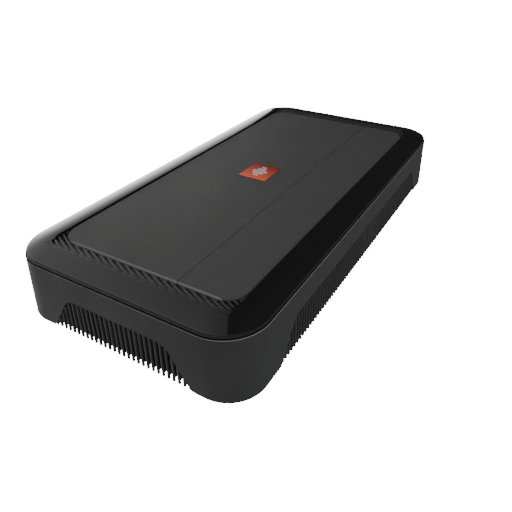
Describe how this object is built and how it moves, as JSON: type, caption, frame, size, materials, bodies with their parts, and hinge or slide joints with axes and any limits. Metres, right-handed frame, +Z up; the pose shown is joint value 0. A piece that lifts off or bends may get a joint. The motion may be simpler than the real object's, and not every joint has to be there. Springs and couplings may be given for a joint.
{
  "type": "car audio amplifier",
  "caption": "Low rectangular car amplifier with a gloss frame, matte lift-off top panels, vented base and a connection and control bay under the narrow cover.",
  "frame": {"origin": "centre of the base, on the plane of the mounting surface", "axes": "+X along the length towards the cable gate, -Y towards the connection bay, +Z up"},
  "size_m": [0.38, 0.194, 0.0539],
  "materials": {
    "skirt": "fine matte texture",
    "gloss_frame": "piano gloss",
    "gasket": "matte",
    "comb": "matte",
    "panel": "fine matte texture",
    "louvre": "satin",
    "badge": "satin lacquer",
    "badge_mark": "satin",
    "rail_metal": "plain",
    "heat_sink": "black anodised",
    "fastener": "zinc plated",
    "fastener_dark": "black oxide",
    "circuit_board": "solder mask",
    "ferrite": "epoxy coated",
    "copper": "enamelled copper wire",
    "inner_plastic": "matte",
    "capacitor_sleeve": "shrink sleeve",
    "chip": "moulded epoxy",
    "thermal_pad": "soft matte",
    "steel": "plain",
    "film_case": "dipped",
    "pot_case": "moulded",
    "status_lens": "clear tinted",
    "terminal_metal": "satin nickel",
    "fuse_body": "translucent tint",
    "jack_metal": "gold plated",
    "dial_plastic": "matte",
    "lever_plastic": "matte"
  },
  "bodies": {
    "housing": {"skirt": "skirt", "bezel": "gloss_frame", "seam_gasket": "gasket", "comb_front": "comb", "comb_rear": "comb", "comb_left": "comb", "comb_right": "comb", "louvre_left": "louvre", "louvre_right": "louvre", "heat_sink": "heat_sink", "sink_fins": "heat_sink", "foot_posts": "heat_sink", "board_spacers": "steel", "transistor_rail": "rail_metal", "skirt_screws": "fastener", "bezel_screws": "fastener", "main_board": "circuit_board", "board_screws": "fastener", "toroid_cores": "ferrite", "toroid_windings": "copper", "toroid_clamp": "inner_plastic", "bulk_capacitors": "capacitor_sleeve", "output_chokes": "copper", "power_transistors": "chip", "thermal_strip": "thermal_pad", "clamp_bar": "steel", "clamp_screws": "fastener", "driver_chips": "chip", "film_capacitors": "film_case", "connection_deck": "inner_plastic", "deck_screws": "fastener", "control_board": "circuit_board", "control_plate": "inner_plastic", "pot_bodies": "pot_case", "switch_bodies": "steel", "status_lights": "status_lens", "power_terminals": "terminal_metal", "power_terminal_screws": "fastener_dark", "speaker_terminals": "terminal_metal", "speaker_terminal_screws": "fastener_dark", "fuse_holder": "inner_plastic", "input_jacks": "inner_plastic", "jack_sleeves": "jack_metal", "remote_socket": "inner_plastic"},
    "main_panel": {"main_panel": "panel", "badge_plate": "badge", "badge_bars": "badge_mark"},
    "terminal_cover": {"terminal_cover": "panel"},
    "fuse_outer": {"fuse_outer": "fuse_body"},
    "fuse_inner": {"fuse_inner": "fuse_body"},
    "dial_front_level": {"dial_front_level": "dial_plastic"},
    "dial_rear_level": {"dial_rear_level": "dial_plastic"},
    "dial_bass_boost": {"dial_bass_boost": "dial_plastic"},
    "dial_front_filter": {"dial_front_filter": "dial_plastic"},
    "dial_rear_filter": {"dial_rear_filter": "dial_plastic"},
    "switch_front_filter": {"switch_front_filter": "lever_plastic"},
    "switch_rear_filter": {"switch_rear_filter": "lever_plastic"},
    "switch_input_mode": {"switch_input_mode": "lever_plastic"},
    "switch_input_range": {"switch_input_range": "lever_plastic"}
  },
  "joints": [
    {"name": "main_panel_lift", "type": "slide", "parent": "housing", "child": "main_panel", "axis": [0, 0, 1], "range_m": [0, 0.03]},
    {"name": "terminal_cover_lift", "type": "slide", "parent": "housing", "child": "terminal_cover", "axis": [0, 0, 1], "range_m": [0, 0.03]},
    {"name": "fuse_outer_pull", "type": "slide", "parent": "housing", "child": "fuse_outer", "axis": [0, 0, 1], "range_m": [0, 0.004]},
    {"name": "fuse_inner_pull", "type": "slide", "parent": "housing", "child": "fuse_inner", "axis": [0, 0, 1], "range_m": [0, 0.004]},
    {"name": "dial_front_level_turn", "type": "hinge", "parent": "housing", "child": "dial_front_level", "pos_m": [-0.132, -0.0415, 0.0466], "axis": [0, 0, 1], "range_deg": [-140, 140]},
    {"name": "dial_rear_level_turn", "type": "hinge", "parent": "housing", "child": "dial_rear_level", "pos_m": [-0.112, -0.0415, 0.0466], "axis": [0, 0, 1], "range_deg": [-140, 140]},
    {"name": "dial_bass_boost_turn", "type": "hinge", "parent": "housing", "child": "dial_bass_boost", "pos_m": [-0.092, -0.0415, 0.0466], "axis": [0, 0, 1], "range_deg": [-140, 140]},
    {"name": "dial_front_filter_turn", "type": "hinge", "parent": "housing", "child": "dial_front_filter", "pos_m": [-0.03, -0.0415, 0.0466], "axis": [0, 0, 1], "range_deg": [-140, 140]},
    {"name": "dial_rear_filter_turn", "type": "hinge", "parent": "housing", "child": "dial_rear_filter", "pos_m": [-0.004, -0.0415, 0.0466], "axis": [0, 0, 1], "range_deg": [-140, 140]},
    {"name": "switch_front_filter_slide", "type": "slide", "parent": "housing", "child": "switch_front_filter", "axis": [1, 0, 0], "range_m": [-0.002, 0.002]},
    {"name": "switch_rear_filter_slide", "type": "slide", "parent": "housing", "child": "switch_rear_filter", "axis": [1, 0, 0], "range_m": [-0.002, 0.002]},
    {"name": "switch_input_mode_slide", "type": "slide", "parent": "housing", "child": "switch_input_mode", "axis": [1, 0, 0], "range_m": [-0.002, 0.002]},
    {"name": "switch_input_range_slide", "type": "slide", "parent": "housing", "child": "switch_input_range", "axis": [1, 0, 0], "range_m": [-0.002, 0.002]}
  ]
}
